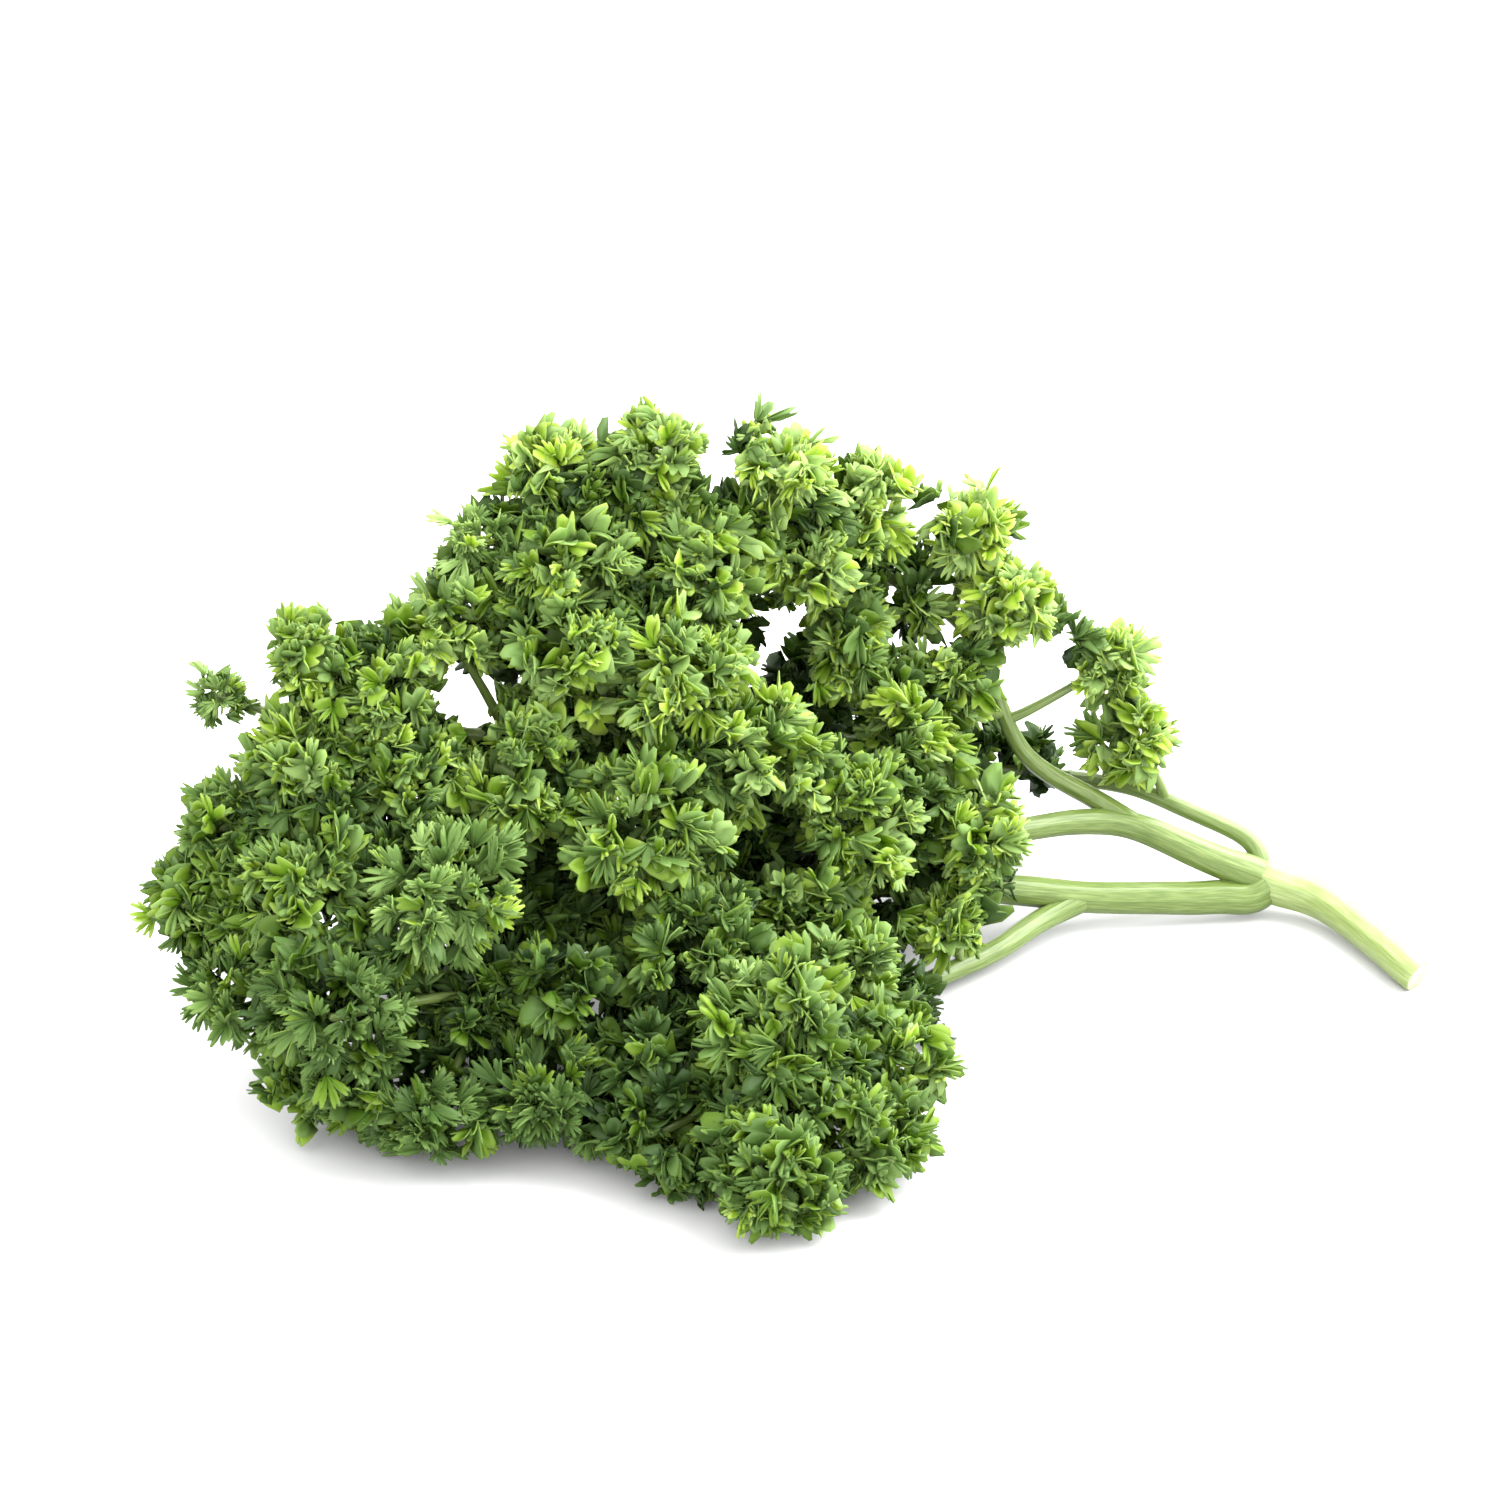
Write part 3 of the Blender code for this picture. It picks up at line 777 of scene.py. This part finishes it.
TUFTS_EACH = 17              # tufts in a leaflet of the middling radius
FEWEST_TUFTS = 8
MIDDLING_RADIUS = 6 * MM
TUFT_LENGTH = 3.1 * MM       # the most that a tuft reaches before it varies
BLADES_EACH = 6              # blades in a leaflet's tuft
FULL_RADIUS = 5.5 * MM       # smaller leaflets reach further past their solids
OPEN_DEPTH = 0.85            # open leaflets keep further inside theirs
NEIGHBOUR_REACH = 1.6        # leaflets nearer than this share of both radii grow into each other
NEIGHBOUR_COSINE = 0.6       # where their tufts face each other by more than this cosine
NEIGHBOUR_SHARE = 0.6        # as far as this share of the way to the neighbour's middle
NEIGHBOUR_DEPTH = 1.35       # and this share of their own radius

STALKLET_POINTS = 14
STALKLET_RADII = (0.62, 0.4)          # in millimetres, at the stem and in the leaflet
LONG_STALKLET = 3 * MM                # one that stands out further than this carries tufts
STALKLET_TUFTS_AT = (3, 6)            # points along it that carry them
STALKLET_TUFT_LENGTH = 3.6 * MM
STALKLET_TUFT_HEIGHT = 2.0 * MM       # of a tuft's heart from the stalklet's middle line


class Puff:
    """The space that a leaflet's blades fill, from its solid."""

    def __init__(self, node):
        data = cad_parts[node].data
        data.calc_loop_triangles()
        corners = np.zeros(len(data.loop_triangles) * 3, np.int32)
        data.loop_triangles.foreach_get("vertices", corners)
        points, corners = node_points(node), corners.reshape(-1, 3)
        a, b, c = (points[corners[:, i]] for i in range(3))
        volumes = np.einsum("ij,ij->i", a, np.cross(b, c)) / 6
        self.centre = ((a + b + c) / 4 * volumes[:, None]).sum(axis=0) / volumes.sum()
        self.radius = (abs(volumes.sum()) * 3 / 4 / math.pi) ** (1 / 3)
        self.foot = points[np.argmax(np.linalg.norm(points - self.centre, axis=1))]
        self.surface = BVHTree.FromPolygons([tuple(p) for p in points], [tuple(map(int, t)) for t in corners])

    def room(self, start, direction):
        """How far a blade can grow from a point inside before it leaves the puff."""
        hit = self.surface.ray_cast(Vector(start), Vector(direction))
        return hit[3] or self.radius * 0.5


def find_openings(puffs):
    """Middles and radii of the gaps that light passes through, each between the leaflets that frame it."""
    openings = []
    for names, radius in OPENINGS:
        framed = [puffs["leaflet_" + name].centre for name in names]
        openings.append((np.mean(framed, axis=0), radius))
    return openings


def leaflet_blades(puff, others, rng, opened):
    """A leaflet's blades: tufts round its middle, which reach further where a neighbour is near."""
    blades = Blades()
    lush = max(1.0, FULL_RADIUS / puff.radius) ** 0.6
    count = max(FEWEST_TUFTS, int(TUFTS_EACH * (puff.radius / MIDDLING_RADIUS) ** 1.5))
    for out in even_directions(count, rng, 0.22):
        depth = puff.room(puff.centre, out) * rng.uniform(0.95, 1.2) * lush
        if opened:
            depth *= OPEN_DEPTH
        for other in others:
            between = other.centre - puff.centre
            apart = np.linalg.norm(between)
            is_close = apart < NEIGHBOUR_REACH * (puff.radius + other.radius)
            if is_close and out @ between > NEIGHBOUR_COSINE * apart:
                depth = max(depth, min(NEIGHBOUR_SHARE * apart, NEIGHBOUR_DEPTH * puff.radius))
        tuft = min(0.5 * depth, TUFT_LENGTH) * rng.uniform(0.85, 1.15)
        heart = puff.centre + out * (depth - tuft) * rng.uniform(0.75, 1.0)
        blades.add_tuft(heart, out, BLADES_EACH, tuft * 1.1, rng)
    return blades


def stalklet_curve(puff, lines):
    """Points of a stalklet, from the nearest stem to a little past the puff's middle, bent by its foot."""
    distances = {name: np.linalg.norm(line - puff.foot, axis=1) for name, (line, _) in lines.items()}
    nearest = min((distance.min(), name) for name, distance in distances.items())[1]
    root = lines[nearest][0][np.argmin(distances[nearest])]
    bend = puff.foot + (puff.foot - root) * 0.2
    end = puff.centre + unit(puff.centre - puff.foot) * puff.radius * 0.1
    t = np.linspace(0, 1, STALKLET_POINTS)[:, None]
    return root * (1 - t) ** 2 + bend * 2 * t * (1 - t) + end * t ** 2


def add_stalklet(node, puff, material, lines, blades, rng):
    """A thin stalk from the nearest stem into the leaflet; tufts on a long one join the leaflet's blades."""
    curve = stalklet_curve(puff, lines)
    stands_out = np.linalg.norm(puff.foot - puff.centre) > puff.radius + LONG_STALKLET
    if stands_out and not node.startswith(BARE_STALKLETS):
        for place in STALKLET_TUFTS_AT:
            out = unit(rng.standard_normal(3))
            heart = curve[place] + out * STALKLET_TUFT_HEIGHT
            blades.add_tuft(heart, out, BLADES_EACH, STALKLET_TUFT_LENGTH, rng)
    radii = np.linspace(*STALKLET_RADII, STALKLET_POINTS) * MM
    points, quads, rings, sides = ribbed_tube(curve, radii, sides=12, ribs=4)
    mesh = mesh_from_arrays(node + "_stalklet", above_table(points, STEM_SOFTNESS), quads)
    length = np.linalg.norm(curve[-1] - curve[0])
    lay_out_stem_uv(mesh, length, rings, sides, math.tau * radii.mean())
    add_piece(node + "_stalklet", mesh, material, node)


def painted_lightness_at(place):
    """How light a leaflet is painted, from where it stands in the sprig: painted light up high and to the
    right, painted shade in the middle and low down.
    """
    share_x, _, share_z = (place - np.array(cad_low)) / np.array(cad_high - cad_low)
    return (LEAST_PAINTED_LIGHTNESS + PAINTED_LIGHTER_TO_THE_RIGHT * share_x + PAINTED_LIGHTER_UPWARDS * share_z
            + PAINTED_LIGHTER_OUTWARDS * abs(share_x - PAINTED_SHADE_MIDDLE))


def add_leaflets(puffs, openings, leaf, stem, lines, rng):
    """Each leaflet's blades and its stalklet."""
    for node, puff in puffs.items():
        others = [other for name, other in puffs.items() if name != node]
        opened = node in OPEN_LEAFLETS
        blades = leaflet_blades(puff, others, rng, opened)
        add_stalklet(node, puff, stem, lines, blades, rng)
        blades.keep_out_of(openings)
        style, pale = (OPEN, OPEN_PALE) if opened else (CRISPED, CRISPED_PALE)
        parts = blades.make(style, rng, painted_lightness_at(puff.centre), pale)
        add_leaf_piece(node + "_crisped", parts, leaf, node)


# ---------------------------------------------------------------- tufts that join the leaflets

FILL_REACH = 1.75            # leaflets nearer than this share of both radii are joined by tufts
FILL_LIMIT = 17 * MM         # unless they are further apart than this
FILL_BLADES = 5              # blades in a tuft that joins leaflets
FILL_SHARES = (0.38, 0.62)   # where the tufts between two leaflets sit
FILL_TUFT_LENGTH = 3.4 * MM
FILL_SHIFT = 0.8             # in millimetres: how far they stand off the plain middle

STEM_TUFT_SPACING = 4.5 * MM
STEM_TUFTS = 5               # tufts round a stem at one place
STEM_TUFT_HEIGHT = 2.6 * MM  # of a tuft's heart above the stem

HOLLOW_RADIUS = 3.0 * MM
HOLLOW_TUFTS = 7
HOLLOW_TUFT_LENGTH = 3.6 * MM


def is_near(first, second):
    """Whether tufts join two leaflets."""
    apart = np.linalg.norm(second.centre - first.centre)
    return apart < min(FILL_REACH * (first.radius + second.radius), FILL_LIMIT)


def join_two(blades, first, second, heart_of_blade, rng):
    """Tufts between two leaflets, which face away from the heart of the blade."""
    for share in FILL_SHARES:
        middle = first.centre * share + second.centre * (1 - share)
        out = middle - heart_of_blade
        blades.add_tuft(middle + rng.standard_normal(3) * FILL_SHIFT * MM, unit(out), FILL_BLADES,
                        FILL_TUFT_LENGTH, rng)


def join_three(blades, first, second, third, rng):
    """Two tufts amid three leaflets, back to back."""
    middle = (first.centre + second.centre + third.centre) / 3
    facing = unit(np.cross(second.centre - first.centre, third.centre - first.centre))
    for side in (facing, -facing):
        blades.add_tuft(middle + side * FILL_SHIFT * MM, side, FILL_BLADES, FILL_TUFT_LENGTH, rng)


def add_filling_tufts(puffs, openings, leaf, rng):
    """Tufts between neighbouring leaflets, so that the blade reads as one crisped mass."""
    names = [name for name in puffs if name != LONE_LEAFLET]
    heart_of_blade = np.mean([puff.centre for puff in puffs.values()], axis=0)
    for i, name in enumerate(names):
        first = puffs[name]
        near = [puffs[other] for other in names[i + 1:] if is_near(first, puffs[other])]
        blades = Blades()
        for j, second in enumerate(near):
            join_two(blades, first, second, heart_of_blade, rng)
            for third in near[j + 1:]:
                if is_near(second, third):
                    join_three(blades, first, second, third, rng)
        blades.keep_out_of(openings)
        # The filling tufts are coloured darker, with painted shade between the leaflets.
        add_tuft_pieces(name + "_filling_tufts", blades, FILLING_PAINTED_LIGHTNESS, leaf, rng)


def add_stem_tufts(lines, openings, leaf, rng):
    """Leafy tufts on the stems themselves, deep inside the blade, coloured dark with painted shade."""
    for name, first in LEAFY_FROM.items():
        line, radii = lines[name]
        blades = Blades()
        for ring in range(int(first * len(line)), len(line), int(STEM_TUFT_SPACING / STEM_RING_SPACING)):
            for out in even_directions(STEM_TUFTS, rng, 0.6):
                heart = line[ring] + out * (radii[ring] + STEM_TUFT_HEIGHT)
                blades.add_tuft(heart, out, FILL_BLADES, FILL_TUFT_LENGTH, rng)
        blades.keep_out_of(openings)
        add_tuft_pieces(name + "_inner_tufts", blades, STEM_TUFT_PAINTED_LIGHTNESS, leaf, rng)


def add_hollow_tufts(puffs, leaf, rng):
    """Tufts round the middle of each hollow, coloured dark with painted shade."""
    blades = Blades()
    for names in HOLLOWS:
        middle = np.mean([puffs["leaflet_" + name].centre for name in names], axis=0)
        for out in even_directions(HOLLOW_TUFTS, rng, 0.3):
            blades.add_tuft(middle + out * HOLLOW_RADIUS, out, FILL_BLADES, HOLLOW_TUFT_LENGTH, rng)
    add_tuft_pieces("hollow_tufts", blades, HOLLOW_PAINTED_LIGHTNESS, leaf, rng)


def add_blade_of_leaflets(leaf, stem, lines):
    """All leaflets and the tufts that join them."""
    rng = np.random.default_rng(SEED)
    puffs = {node: Puff(node) for node in LEAFLET_NODES}
    openings = find_openings(puffs)
    add_leaflets(puffs, openings, leaf, stem, lines, rng)
    add_filling_tufts(puffs, openings, leaf, rng)
    add_stem_tufts(lines, openings, leaf, rng)
    add_hollow_tufts(puffs, leaf, rng)


# ---------------------------------------------------------------- the whole scene

add_camera()
add_daylight()
add_lamp()
add_table()
leaf_material = parsley_leaf()
stem_material = parsley_stem("parsley_stem", "#445820", "#586a30", "#6e7e46")
stalk_material = parsley_stem("parsley_stalk", "#667838", "#788850", "#8e996a")
pith_material = parsley_stem("parsley_pith", "#8c9a68", "#a2ae80", "#b8c09a")
stem_lines = add_stems(stem_material, stalk_material, pith_material)
add_blade_of_leaflets(leaf_material, stem_material, stem_lines)
